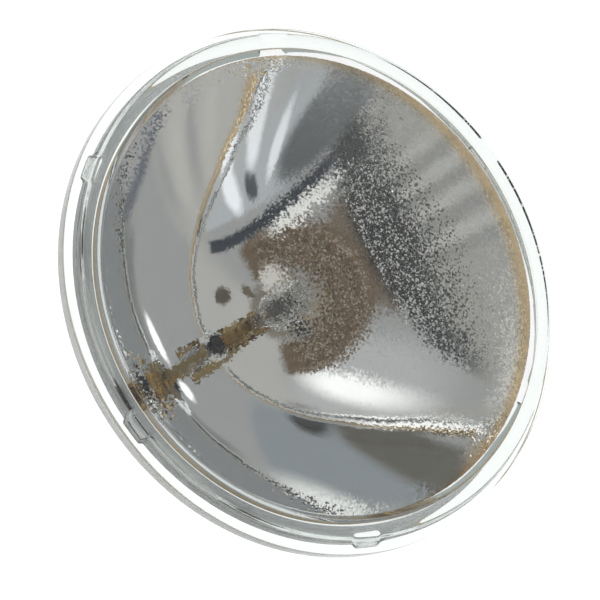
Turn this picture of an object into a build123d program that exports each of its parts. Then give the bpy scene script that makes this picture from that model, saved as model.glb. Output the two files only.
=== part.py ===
from build123d import *
import math
import os

# A sealed-beam spotlight bulb. The optical axis is Z and the lens looks along +Z.
# The origin is the middle of the flange's outer land, where a lamp holder's ring grips the rim.
# All sizes are in millimetres.

# Rim: the reflector's flange is the widest place of the lamp
rim_radius = 101.6
land_height = 4.0
flange_round = 0.8
flange_lip = 1.4
seal_width = 8.2

# Lens: a skirt stands on the flange, a flat shoulder runs in to the dome
skirt_height = 6.2
skirt_draft = 2.7
corner_round = 1.4
shoulder_width = 5.7
dome_step = 1.4
dome_step_run = 0.8
dome_rise = 12.6
lens_wall = 4.5
inner_skirt_run = 3.5

# Groove round the skirt's foot, bridged by moulded webs
groove_height = 3.4
groove_depth = 1.6
groove_round = 0.7
web_count = 6
web_width = 9.0
web_turn = 9.0

# Reflector bowl: a paraboloid of this focal length, with a neck behind
focal_length = 33.0
bowl_wall = 5.0
heel_wall = 7.0
neck_radius = 26.0
neck_wall = 5.5
neck_length = 21.7
neck_round = 5.0
neck_lip_round = 1.2

# Ferrules: metal cups sealed through the heel, each with a peened stud
ferrule_spacing = 31.0
pad_radius = 5.2
pad_clear = 0.2
ferrule_head_radius = 3.8
ferrule_head = 1.2
ferrule_barrel_radius = 3.0
ferrule_bore_radius = 2.0
ferrule_tail = 4.5
stud_radius = 1.5
peen_radius = 2.8
peen_height = 1.2

# Exhaust tube behind the vertex
exhaust_bore_radius = 2.4
exhaust_tube_wall = 1.4
exhaust_tube_length = 7.0
exhaust_tip_length = 4.5

# Burner: a quartz capsule on a flat pinch
bulb_radius = 6.5
bulb_wall = 1.1
bulb_length = 30.0
bulb_floor = 2.4
tip_radius = 1.5
tip_height = 3.0
pinch_width = 13.0
pinch_thickness = 4.6
pinch_edge_round = 0.6
pinch_lift = 7.4

# Filament coil, with its middle at the focus
coil_radius = 2.3
coil_wire_radius = 0.5
coil_pitch = 1.9
coil_turns = 7.5
coil_lift = 4.6
coil_gap = 0.1

# Leads, foils and pins
lead_spacing = 6.0
lead_radius = 0.45
lead_bend = 0.6
lead_wall_gap = 0.55
long_lead_over = 2.0
foil_width = 3.0
foil_thickness = 0.12
foil_to_bulb = 2.4
foil_to_end = 1.5
pin_radius = 0.5
pin_bend = 1.0
pin_drop = 1.1

# Holders: sheet clips that grip the pinch's two edges, each on a narrow strap and a wide foot
holder_sheet = 0.8
holder_grip = 2.5
holder_bend = 1.0
holder_top_gap = 1.6
holder_strap_width = 2.0
holder_foot_half_width = 4.2
holder_foot_gap = 2.0
holder_foot_past = 2.6
holder_foot_round = 0.8
holder_tongue_half_width = 2.6

# Ceramic base: a round cap over the neck, and a block with the blades' slots
cement_gap = 1.5
cement_setback = 1.0
socket_depth = 12.0
cap_wall = 4.5
cap_below_socket = 8.0
cap_round = 1.8
block_end_wall = 7.0
block_side_wall = 6.0
block_corner = 7.0
block_round = 1.5
cavity_corner = 5.0
cavity_depth = 13.0
floor_wall = 10.0

# Blades: strip folded double at the tip, a foot on the cavity's floor and a stub for the wire
blade_spacing = 16.0
blade_strip = 1.2
blade_fold_gap = 0.2
blade_width = 9.5
blade_length = 16.0
blade_tip_round = 2.5
blade_fold_round = 1.0
blade_foot_length = 6.5
blade_foot_clear = 1.2
blade_side_clear = 4.25
blade_stub = 5.0
blade_slot_clear = 0.1

# Rivets through the blades' feet
rivet_radius = 1.5
rivet_head_radius = 2.5
rivet_head = 1.0
rivet_recess_radius = 3.2
rivet_recess_depth = 1.8

# Lead wires behind the heel
wire_radius = 1.1
wire_straight = 6.0
wire_bend = 5.0

# Radii of the rim, from the outside in
skirt_foot_radius = rim_radius - flange_lip
mouth_radius = skirt_foot_radius - seal_width
skirt_top_radius = skirt_foot_radius - skirt_draft
dome_edge_radius = skirt_top_radius - shoulder_width - dome_step_run

# Heights that follow from the sizes above
seam_z = land_height / 2 + flange_round
flange_back_z = -seam_z
corner_z = seam_z + skirt_height
dome_edge_z = corner_z + dome_step
apex_z = dome_edge_z + dome_rise
vertex_z = seam_z - mouth_radius**2 / (4 * focal_length)
focus_z = vertex_z + focal_length
heel_back_z = vertex_z - heel_wall
neck_end_z = heel_back_z - neck_length

ferrule_x = ferrule_spacing / 2
pad_z = vertex_z + (ferrule_x + pad_radius)**2 / (4 * focal_length) + pad_clear
ferrule_top_z = pad_z + ferrule_head
foot_top_z = ferrule_top_z + holder_sheet
ferrule_end_z = heel_back_z - ferrule_tail

pinch_bottom_z = foot_top_z + pinch_lift
coil_length = coil_pitch * coil_turns
coil_start_z = focus_z - coil_length / 2
coil_end_z = focus_z + coil_length / 2
bulb_bottom_z = coil_start_z - coil_lift
bulb_top_z = bulb_bottom_z + bulb_length
bulb_inner_bottom_z = bulb_bottom_z + bulb_floor
holder_top_z = bulb_bottom_z - holder_top_gap
foil_top_z = bulb_bottom_z - foil_to_bulb
foil_bottom_z = pinch_bottom_z + foil_to_end
long_lead_x = bulb_radius - bulb_wall - lead_wall_gap - lead_radius

base_top_z = neck_end_z + socket_depth
cap_bottom_z = neck_end_z - cap_below_socket
cavity_floor_z = neck_end_z - cavity_depth
base_bottom_z = cavity_floor_z - floor_wall
blade_tip_z = base_bottom_z - blade_length
blade_x = blade_spacing / 2
blade_half = blade_strip + blade_fold_gap / 2
foot_inner_x = blade_x + blade_half
rivet_x = foot_inner_x + blade_foot_length / 2
cavity_length = 2 * (foot_inner_x + blade_foot_length + blade_foot_clear)
cavity_width = blade_width + 2 * blade_side_clear
block_length = cavity_length + 2 * block_end_wall
block_width = cavity_width + 2 * block_side_wall
stub_x = blade_x - blade_half + blade_strip / 2
stub_top_z = cavity_floor_z + blade_stub


def turned(edges):
    """Solid of revolution about the axis, from a closed section of (radius, height) edges."""
    return revolve(Plane.XZ * make_face(edges), Axis.Z)


def rounded_section(edges, corners):
    """Section face with the corners at the given (radius, height, rounding) made round."""
    face = make_face(edges)
    for r, z, rounding in corners:
        face = fillet(face.vertices().sort_by_distance((r, z, 0))[0], rounding)
    return face


def parabola(r1, r2, apex, focal):
    """Arc of the parabola z = apex + r^2 / (4 focal) between two radii, exact as a quadratic curve."""
    def height(a, b):
        return apex + a * b / (4 * focal)
    return Bezier((r1, height(r1, r1)), ((r1 + r2) / 2, height(r1, r2)), (r2, height(r2, r2)))


def cap_arc(radius, centre_z, edge_r):
    """Arc of a sphere about (0, centre_z), from its top on the axis out to a radius."""
    reach = math.asin(edge_r / radius)

    def at(angle):
        return (radius * math.sin(angle), centre_z + radius * math.cos(angle))
    return ThreePointArc(at(0), at(reach / 2), at(reach))


def wire(radius, bend, *points):
    """Round wire along straight runs joined by bends."""
    path = FilletPolyline(*points, radius=bend)
    return sweep((path ^ 0) * Circle(radius), path=path)


def upright(shape, bottom_z, top_z):
    """Flat shape raised between two heights."""
    return extrude(Pos(0, 0, bottom_z) * shape, top_z - bottom_z)


def both_sides(name, right):
    """A piece on +X and its half-turned twin on -X."""
    return {name + "_right": right, name + "_left": Rot(0, 0, 180) * right}


def make_lens():
    """Domed glass with a drafted skirt, a stepped shoulder and a groove bridged by webs."""
    sphere = (dome_edge_radius**2 + dome_rise**2) / (2 * dome_rise)
    centre_z = apex_z - sphere
    inner_r = mouth_radius - inner_skirt_run
    inner_sphere = sphere - lens_wall
    inner_z = centre_z + math.sqrt(inner_sphere**2 - inner_r**2)
    section = rounded_section(
        [
            cap_arc(sphere, centre_z, dome_edge_radius),
            Polyline(
                (dome_edge_radius, dome_edge_z),
                (dome_edge_radius + dome_step_run, corner_z),
                (skirt_top_radius, corner_z),
                (skirt_foot_radius, seam_z),
                (mouth_radius, seam_z),
                (inner_r, inner_z),
            ),
            cap_arc(inner_sphere, centre_z, inner_r),
            Line((0, apex_z), (0, apex_z - lens_wall)),
        ],
        [(skirt_top_radius, corner_z, corner_round)],
    )
    lens = revolve(Plane.XZ * section, Axis.Z)
    groove_r = skirt_foot_radius - groove_depth
    groove = rounded_section(
        [
            Polyline(
                (groove_r, seam_z),
                (groove_r, seam_z + groove_height),
                (rim_radius, seam_z + groove_height),
                (rim_radius, seam_z),
                close=True,
            )
        ],
        [(groove_r, seam_z + groove_height, groove_round)],
    )
    web_angle = math.degrees(web_width / skirt_foot_radius)
    step = 360 / web_count
    span = revolve(Plane.XZ * groove, Axis.Z, step - web_angle)
    for i in range(web_count):
        lens -= Rot(0, 0, web_turn + i * step + web_angle / 2) * span
    return lens


def make_reflector():
    """Pressed bowl with its flange, neck and heel, drilled for the ferrules and the exhaust."""
    inner_root = math.sqrt(4 * focal_length * (flange_back_z - vertex_z))
    lean = math.atan(inner_root / (2 * focal_length))
    root_radius = inner_root + bowl_wall / math.sin(lean)
    outer_apex = vertex_z - bowl_wall
    outer_focal = root_radius**2 / (4 * (flange_back_z - outer_apex))
    neck_top_z = outer_apex + neck_radius**2 / (4 * outer_focal)
    neck_bore = neck_radius - neck_wall
    section = rounded_section(
        [
            parabola(0, mouth_radius, vertex_z, focal_length),
            Polyline(
                (mouth_radius, seam_z),
                (rim_radius, seam_z),
                (rim_radius, flange_back_z),
                (root_radius, flange_back_z),
            ),
            parabola(neck_radius, root_radius, outer_apex, outer_focal),
            Polyline(
                (neck_radius, neck_top_z),
                (neck_radius, neck_end_z),
                (neck_bore, neck_end_z),
                (neck_bore, heel_back_z),
                (0, heel_back_z),
                (0, vertex_z),
            ),
        ],
        [
            (rim_radius, seam_z, flange_round),
            (rim_radius, flange_back_z, flange_round),
            (neck_radius, neck_end_z, neck_lip_round),
        ],
    )
    bowl = revolve(Plane.XZ * section, Axis.Z)
    neck_edge = bowl.edges().filter_by(GeomType.CIRCLE).sort_by_distance((neck_radius, 0, neck_top_z))[0]
    bowl = fillet(neck_edge, neck_round)
    ferrule_places = Locations((ferrule_x, 0), (-ferrule_x, 0))
    pads = [place * Circle(pad_radius) for place in ferrule_places.locations]
    holes = [place * Circle(ferrule_barrel_radius) for place in ferrule_places.locations]
    bowl += [upright(pad, (heel_back_z + vertex_z) / 2, pad_z) for pad in pads]
    bowl -= [upright(hole, heel_back_z, pad_z) for hole in holes]
    bowl -= upright(Circle(exhaust_bore_radius), heel_back_z, pad_z)
    return bowl


def make_ferrule():
    """Flanged cup through the heel, with a stud that is peened over the holder's foot."""
    cup = turned(
        Polyline(
            (0, foot_top_z + peen_height),
            (stud_radius, foot_top_z + peen_height),
            (peen_radius, foot_top_z),
            (stud_radius, foot_top_z),
            (stud_radius, ferrule_top_z),
            (ferrule_head_radius, ferrule_top_z),
            (ferrule_head_radius, pad_z),
            (ferrule_barrel_radius, pad_z),
            (ferrule_barrel_radius, ferrule_end_z),
            (ferrule_bore_radius, ferrule_end_z),
            (ferrule_bore_radius, heel_back_z),
            (0, heel_back_z),
            close=True,
        )
    )
    return Pos(ferrule_x, 0, 0) * cup


def make_exhaust_tube():
    """Glass tube over the hole behind the vertex, drawn to a closed tip."""
    outer = exhaust_bore_radius + exhaust_tube_wall
    taper_z = heel_back_z - exhaust_tube_length
    tip_z = taper_z - exhaust_tip_length
    return turned(
        Polyline(
            (exhaust_bore_radius, heel_back_z),
            (outer, heel_back_z),
            (outer, taper_z),
            (exhaust_tube_wall / 2, tip_z),
            (0, tip_z),
            (0, tip_z + exhaust_tube_wall),
            (exhaust_bore_radius, taper_z),
            close=True,
        )
    )


def capsule(radius, bottom_z, top_z):
    """Straight tube with a round closed end at each height."""
    low = bottom_z + radius
    high = top_z - radius
    slant = radius * math.sqrt(0.5)
    return turned(
        [
            ThreePointArc((0, bottom_z), (slant, low - slant), (radius, low)),
            Line((radius, low), (radius, high)),
            ThreePointArc((radius, high), (slant, high + slant), (0, top_z)),
            Line((0, top_z), (0, bottom_z)),
        ]
    )


def make_seals():
    """Leads, foils and pins of the burner, which butt together inside the pinch."""
    lead_x = lead_spacing / 2
    bulb_low = bulb_inner_bottom_z + lead_radius
    short_top = coil_start_z - coil_wire_radius - coil_gap
    long_top = coil_end_z + long_lead_over
    short_lead = wire(
        lead_radius,
        lead_bend,
        (-lead_x, 0, foil_top_z),
        (-lead_x, 0, bulb_low),
        (-coil_radius, 0, (bulb_low + short_top) / 2),
        (-coil_radius, 0, short_top),
    )
    long_lead = wire(
        lead_radius,
        lead_bend,
        (lead_x, 0, foil_top_z),
        (lead_x, 0, bulb_low),
        (long_lead_x, 0, (bulb_low + short_top) / 2),
        (long_lead_x, 0, long_top),
        (coil_radius, 0, long_top),
        (coil_radius, 0, coil_end_z + coil_wire_radius + coil_gap),
    )
    foil = upright(Pos(lead_x, 0) * Rectangle(foil_width, foil_thickness), foil_bottom_z, foil_top_z)
    pin_z = pinch_bottom_z - pin_drop
    pin = wire(
        pin_radius,
        pin_bend,
        (lead_x, 0, foil_bottom_z),
        (lead_x, 0, pin_z),
        (pinch_width / 2, 0, pin_z),
    )
    return {
        "inner_lead_short": short_lead,
        "inner_lead_long": long_lead,
        **both_sides("foil", foil),
        **both_sides("outer_pin", pin),
    }


def make_envelope(seals):
    """Quartz capsule with its tip and flat pinch, and a close channel for each lead, foil and pin."""
    pinch = upright(
        RectangleRounded(pinch_width, pinch_thickness, pinch_edge_round),
        pinch_bottom_z,
        bulb_bottom_z + bulb_radius / 2,
    )
    tip_base_z = bulb_top_z - tip_radius
    tip = turned(
        Polyline(
            (0, tip_base_z),
            (2 * tip_radius, tip_base_z),
            (tip_radius, bulb_top_z + tip_height / 2),
            (tip_radius / 2, bulb_top_z + tip_height),
            (0, bulb_top_z + tip_height),
            close=True,
        )
    )
    quartz = capsule(bulb_radius, bulb_bottom_z, bulb_top_z) + pinch + tip
    quartz -= capsule(bulb_radius - bulb_wall, bulb_inner_bottom_z, bulb_top_z - bulb_wall)
    for piece in seals.values():
        quartz -= piece
    return quartz


def make_filament():
    """Coil about the axis, from the short lead's side round to the long lead's side."""
    path = Pos(0, 0, coil_start_z) * Rot(0, 0, 180) * Helix(coil_pitch, coil_length, coil_radius)
    return sweep((path ^ 0) * Circle(coil_wire_radius), path=path, is_frenet=True)


def make_holder():
    """Sheet clip: a channel over the pinch's edge, a strap below it, and a foot riveted to the ferrule."""
    edge_x = pinch_width / 2
    back_x = edge_x + holder_sheet
    grip_x = edge_x - holder_grip
    half = pinch_thickness / 2
    channel = rounded_section(
        [
            Polyline(
                (back_x, half + holder_sheet),
                (grip_x, half + holder_sheet),
                (grip_x, half),
                (edge_x, half),
                (edge_x, -half),
                (grip_x, -half),
                (grip_x, -half - holder_sheet),
                (back_x, -half - holder_sheet),
                close=True,
            )
        ],
        [(back_x, half + holder_sheet, holder_bend), (back_x, -half - holder_sheet, holder_bend)],
    )
    clip = upright(channel, pinch_bottom_z, holder_top_z)
    strap = Pos((edge_x + back_x) / 2, 0) * Rectangle(holder_sheet, holder_strap_width)
    clip += upright(strap, ferrule_top_z, pinch_bottom_z)
    foot_start = holder_foot_gap / 2
    foot_end = back_x + holder_foot_past
    foot_middle = (foot_start + foot_end) / 2
    foot_length = foot_end - foot_start
    foot = Pos(foot_middle, 0) * RectangleRounded(foot_length, 2 * holder_foot_half_width, holder_foot_round)
    tongue_length = ferrule_x - foot_middle
    foot += Pos(foot_middle + tongue_length / 2, 0) * Rectangle(tongue_length, 2 * holder_tongue_half_width)
    foot += Pos(ferrule_x, 0) * Circle(holder_tongue_half_width)
    foot -= Pos(ferrule_x, 0) * Circle(stud_radius)
    return clip + upright(foot, ferrule_top_z, foot_top_z)


def make_base():
    """Ceramic cap with a socket for the neck, a block below, and slots for the blades."""
    socket_radius = neck_radius + cement_gap
    cap = upright(Circle(socket_radius + cap_wall), cap_bottom_z, base_top_z)
    cap = fillet(cap.edges(), cap_round)
    block = upright(RectangleRounded(block_length, block_width, block_corner), base_bottom_z, neck_end_z)
    block = fillet(block.faces().sort_by(Axis.Z)[0].edges(), block_round)
    base = cap + block
    base -= upright(Circle(socket_radius), neck_end_z, base_top_z)
    base -= upright(RectangleRounded(cavity_length, cavity_width, cavity_corner), cavity_floor_z, neck_end_z)
    slot = Rectangle(2 * (blade_half + blade_slot_clear), blade_width + 2 * blade_slot_clear)
    for side in (1, -1):
        base -= upright(Pos(side * blade_x, 0) * slot, base_bottom_z, cavity_floor_z)
        base -= upright(Pos(side * rivet_x, 0) * Circle(rivet_radius), base_bottom_z, cavity_floor_z)
        recess = Pos(side * rivet_x, 0) * Circle(rivet_recess_radius)
        base -= upright(recess, base_bottom_z, base_bottom_z + rivet_recess_depth)
    return base


def make_cement():
    """Ring of cement between the neck and the ceramic cap."""
    ring = Circle(neck_radius + cement_gap) - Circle(neck_radius)
    return upright(ring, neck_end_z + neck_lip_round, base_top_z - cement_setback)


def make_blade():
    """Strip folded double at the tip; one leaf bends into the foot, the other rises to the wire."""
    outer_x = blade_x + blade_half
    inner_x = blade_x - blade_half
    slit = blade_fold_gap / 2
    profile = rounded_section(
        [
            Polyline(
                (inner_x, blade_tip_z),
                (outer_x, blade_tip_z),
                (outer_x, cavity_floor_z),
                (outer_x + blade_foot_length, cavity_floor_z),
                (outer_x + blade_foot_length, cavity_floor_z + blade_strip),
                (blade_x + slit, cavity_floor_z + blade_strip),
                (blade_x + slit, blade_tip_z + blade_strip),
                (blade_x - slit, blade_tip_z + blade_strip),
                (blade_x - slit, stub_top_z),
                (inner_x, stub_top_z),
                close=True,
            )
        ],
        [(inner_x, blade_tip_z, blade_fold_round), (outer_x, blade_tip_z, blade_fold_round)],
    )
    strip = extrude(Plane.XZ * profile, blade_width / 2, both=True)
    rise = stub_top_z - blade_tip_z
    front = Pos(0, blade_tip_z + rise / 2) * Rectangle(blade_width, rise)
    front = fillet(front.vertices().group_by(Axis.Y)[0], blade_tip_round)
    outline = extrude(Plane.YZ * front, foot_inner_x + blade_foot_length)
    blade = strip & outline
    return blade - upright(Pos(rivet_x, 0) * Circle(rivet_radius), cavity_floor_z, stub_top_z)


def make_rivets():
    """Two rivets that clamp the blades' feet to the ceramic floor."""
    foot_z = cavity_floor_z + blade_strip
    seat_z = base_bottom_z + rivet_recess_depth
    rivet = turned(
        Polyline(
            (0, foot_z + rivet_head),
            (rivet_radius, foot_z + rivet_head),
            (rivet_head_radius, foot_z),
            (rivet_radius, foot_z),
            (rivet_radius, seat_z),
            (rivet_head_radius, seat_z),
            (rivet_radius, seat_z - rivet_head),
            (0, seat_z - rivet_head),
            close=True,
        )
    )
    return Compound([Pos(rivet_x, 0, 0) * rivet, Pos(-rivet_x, 0, 0) * rivet])


def make_lead_wire():
    """Stiff wire from the ferrule's cup to the blade's stub."""
    return wire(
        wire_radius,
        wire_bend,
        (ferrule_x, 0, heel_back_z),
        (ferrule_x, 0, ferrule_end_z - wire_straight),
        (stub_x, 0, stub_top_z + wire_straight),
        (stub_x, 0, stub_top_z),
    )


seals = make_seals()
pieces = {
    "lens": make_lens(),
    "reflector": make_reflector(),
    "burner_envelope": make_envelope(seals),
    "filament": make_filament(),
    **seals,
    **both_sides("holder", make_holder()),
    **both_sides("ferrule", make_ferrule()),
    "exhaust_tube": make_exhaust_tube(),
    **both_sides("lead_wire", make_lead_wire()),
    "ceramic_base": make_base(),
    "base_cement": make_cement(),
    **both_sides("blade", make_blade()),
    "blade_rivets": make_rivets(),
}

os.makedirs("parts", exist_ok=True)
for node, shape in pieces.items():
    export_step(shape, "parts/" + node + ".step")
print("overall length", round(apex_z - blade_tip_z, 2), "rim diameter", 2 * rim_radius)
print("vertex", round(vertex_z, 2), "focus", round(focus_z, 2), "blade tips", round(blade_tip_z, 2))
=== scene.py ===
# %% [markdown]
# # A sealed-beam spotlight bulb
#
# The bulb is a pressed glass bowl with a mirror film inside, closed by a domed lens.
# A small quartz burner sits at the mirror's focus, and a ceramic base carries two blades behind.
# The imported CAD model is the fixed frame: every piece made here goes where that model says.
# Light does the rest: a mirror shows its surroundings, so the studio is part of the lesson.

# %% Load the frame
import math

import bpy
import numpy as np
from mathutils import Matrix, Vector


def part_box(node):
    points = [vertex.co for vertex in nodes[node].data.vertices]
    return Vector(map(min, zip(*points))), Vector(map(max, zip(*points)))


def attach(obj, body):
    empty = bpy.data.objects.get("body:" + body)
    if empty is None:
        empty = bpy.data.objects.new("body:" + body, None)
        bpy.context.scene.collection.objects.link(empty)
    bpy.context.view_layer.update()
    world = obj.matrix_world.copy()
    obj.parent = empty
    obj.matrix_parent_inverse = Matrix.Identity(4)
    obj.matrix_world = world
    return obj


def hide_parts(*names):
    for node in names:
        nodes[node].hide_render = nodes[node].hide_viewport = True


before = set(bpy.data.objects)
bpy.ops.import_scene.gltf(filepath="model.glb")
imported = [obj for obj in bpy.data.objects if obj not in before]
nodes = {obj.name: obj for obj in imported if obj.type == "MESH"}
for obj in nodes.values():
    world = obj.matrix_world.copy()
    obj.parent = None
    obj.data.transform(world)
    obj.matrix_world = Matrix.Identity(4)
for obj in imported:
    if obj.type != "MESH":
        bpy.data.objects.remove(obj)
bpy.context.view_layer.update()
scene = bpy.context.scene
MM = 0.001
print("pieces in the frame:", len(nodes))

# %% [markdown]
# ## The camera
#
# The bulb lies with its lens up, so the camera looks down on it from the side.
# A long lens far away keeps the rim nearly a true ellipse. The roll turns the picture about
# the line of sight, because the bulb is seen leaning over to the upper right.

# %% Camera
view_aim = Vector((-9.48, -1.79, 3.07)) * MM
view_azimuth = math.radians(-87.0)
view_elevation = math.radians(58.2)
view_roll = math.radians(58.65)
view_distance = 1.2
view_lens = 195.1
sensor_width = 36.0
far_clip = 100.0


def make_camera():
    """Camera back from the aim point along azimuth and elevation, rolled about its line of sight."""
    back = Vector((
        math.sin(view_azimuth) * math.cos(view_elevation),
        -math.cos(view_azimuth) * math.cos(view_elevation),
        math.sin(view_elevation),
    ))
    camera = bpy.data.objects.new("camera", bpy.data.cameras.new("camera"))
    camera.data.lens = view_lens
    camera.data.sensor_width = sensor_width
    camera.data.clip_end = far_clip
    place = Matrix.Translation(view_aim + view_distance * back)
    facing = back.to_track_quat("Z", "Y").to_matrix().to_4x4()
    camera.matrix_world = place @ facing @ Matrix.Rotation(view_roll, 4, "Z")
    scene.collection.objects.link(camera)
    scene.camera = camera
    return camera


camera = make_camera()
scene.view_settings.view_transform = "Standard"
scene.cycles.max_bounces = 24
scene.cycles.glossy_bounces = 16
scene.cycles.transmission_bounces = 24
print("camera at", [round(x, 3) for x in camera.matrix_world.translation])

# %% [markdown]
# ## Helpers for nodes
#
# A material is a small graph, or tree, of nodes. These helpers add a node, set its sockets and link it
# in one line. Most find the tree by the sockets that they are given.

# %% Node helpers


def feed(node, inputs):
    """Set a node's inputs to values, or link output sockets to them. A colour is three numbers."""
    for name, value in inputs.items():
        socket = node.inputs[name]
        if isinstance(value, bpy.types.NodeSocket):
            node.id_data.links.new(value, socket)
        else:
            socket.default_value = (*value, 1.0) if socket.type == "RGBA" else value


def add_node(tree, kind, inputs=None, **settings):
    """Node of a kind, with its settings and with its inputs set or linked."""
    node = tree.nodes.new("ShaderNode" + kind)
    for name, value in settings.items():
        setattr(node, name, value)
    feed(node, inputs or {})
    return node


def calc(operation, first, second=0.0):
    """Output of a Math node on two values or sockets, in the sockets' tree."""
    tree = (first if isinstance(first, bpy.types.NodeSocket) else second).id_data
    return add_node(tree, "Math", {0: first, 1: second}, operation=operation).outputs[0]


def vector_node(operation, first, second=(0.0, 0.0, 0.0)):
    """Output of a Vector Math node: a number for a distance or a dot product, or else a vector."""
    node = add_node(first.id_data, "VectorMath", {0: first, 1: second}, operation=operation)
    return node.outputs["Value" if operation in ("DISTANCE", "DOT_PRODUCT") else "Vector"]


def blend(share, first, second):
    """Colour between two colours or sockets, by a share."""
    return add_node(share.id_data, "Mix", {0: share, 6: first, 7: second}, data_type="RGBA").outputs[2]


def ramp(value, low, high, start=0.0, end=1.0, smooth=True):
    """Value carried from low to high over to start to end, with eased ends if smooth."""
    return add_node(
        value.id_data, "MapRange",
        {"Value": value, "From Min": low, "From Max": high, "To Min": start, "To Max": end},
        interpolation_type="SMOOTHSTEP" if smooth else "LINEAR",
    ).outputs["Result"]


def new_group(name, inputs, outputs):
    """Empty shader group of numbers and a Vector; returns the tree, its inputs and its output node."""
    tree = bpy.data.node_groups.new(name, "ShaderNodeTree")
    for way, sockets in (("INPUT", inputs), ("OUTPUT", outputs)):
        for socket in sockets:
            kind = "NodeSocketVector" if socket == "Vector" else "NodeSocketFloat"
            tree.interface.new_socket(socket, in_out=way, socket_type=kind)
    return tree, tree.nodes.new("NodeGroupInput").outputs, tree.nodes.new("NodeGroupOutput")


def place_group(group, *values):
    """Outputs of a group placed in its first socket's tree, with its inputs set or linked in order."""
    return add_node(values[0].id_data, "Group", dict(enumerate(values)), node_tree=group).outputs


def new_material(name, **sockets):
    """Principled material, with _ for spaces in socket names. Returns it, its tree and its shader."""
    material = bpy.data.materials.new(name)
    material.use_nodes = True
    tree = material.node_tree
    shader = tree.nodes["Principled BSDF"]
    feed(shader, {socket.replace("_", " "): value for socket, value in sockets.items()})
    return material, tree, shader


# %% [markdown]
# ## The studio
#
# The mirror shows the whole room above the lens, bent out of shape by the bowl.
# So the world is a studio drawn by direction on a flat chart: straight up along the lens axis is the
# middle, and a direction lies as far out as its tilt in degrees, to the side and ahead of the camera.
# On that chart every soft box, flag and wall is a band between two limits, an oval or a ring.
# Light that has met the bowl twice sees a calmer room, and light that only grazed the rim a bright one.
# Only mirror and glass rays see the studio: the camera sees white, and matt surfaces get even light.

# %% Studio chart
studio_turn = math.degrees(view_azimuth)


def aim(tilt, turn):
    """Direction tilted from the lens axis by an angle, towards a turn counted from the view's right."""
    a = math.radians(turn + studio_turn)
    t = math.radians(tilt)
    return (math.sin(t) * math.cos(a), math.sin(t) * math.sin(a), math.cos(t))


RIGHT, FAR, UP = aim(90, 0), aim(90, 90), (0.0, 0.0, 1.0)


def panel(name, colour, **shape):
    """Panel of the studio: a name, a colour, and the bands, oval and ring that bound it.

    Bands (tilt, turn, side, ahead) are (low, high, softness) in degrees. An oval is (side, ahead,
    half width, half height, lean, softness) and a ring (side, ahead, inner radius, outer radius, softness).
    """
    return dict(shape, name=name, colour=colour)


# %% Studio panels
room_grey = (0.33, 0.33, 0.325)
third_grey = (0.22, 0.23, 0.235)
deep_grey = (0.15, 0.145, 0.13)
piped_grey = (0.95, 0.97, 0.96)
table_dark = (0.03, 0.02, 0.013)
table_pale = (0.30, 0.25, 0.20)
fold_pale = (0.49, 0.48, 0.45)
fold_shade = (0.27, 0.265, 0.25)
wall_pale = (0.52, 0.50, 0.465)
wall_shade = (0.34, 0.335, 0.325)
slot_white = (1.7, 1.7, 1.7)
open_low = -9.0

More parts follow.
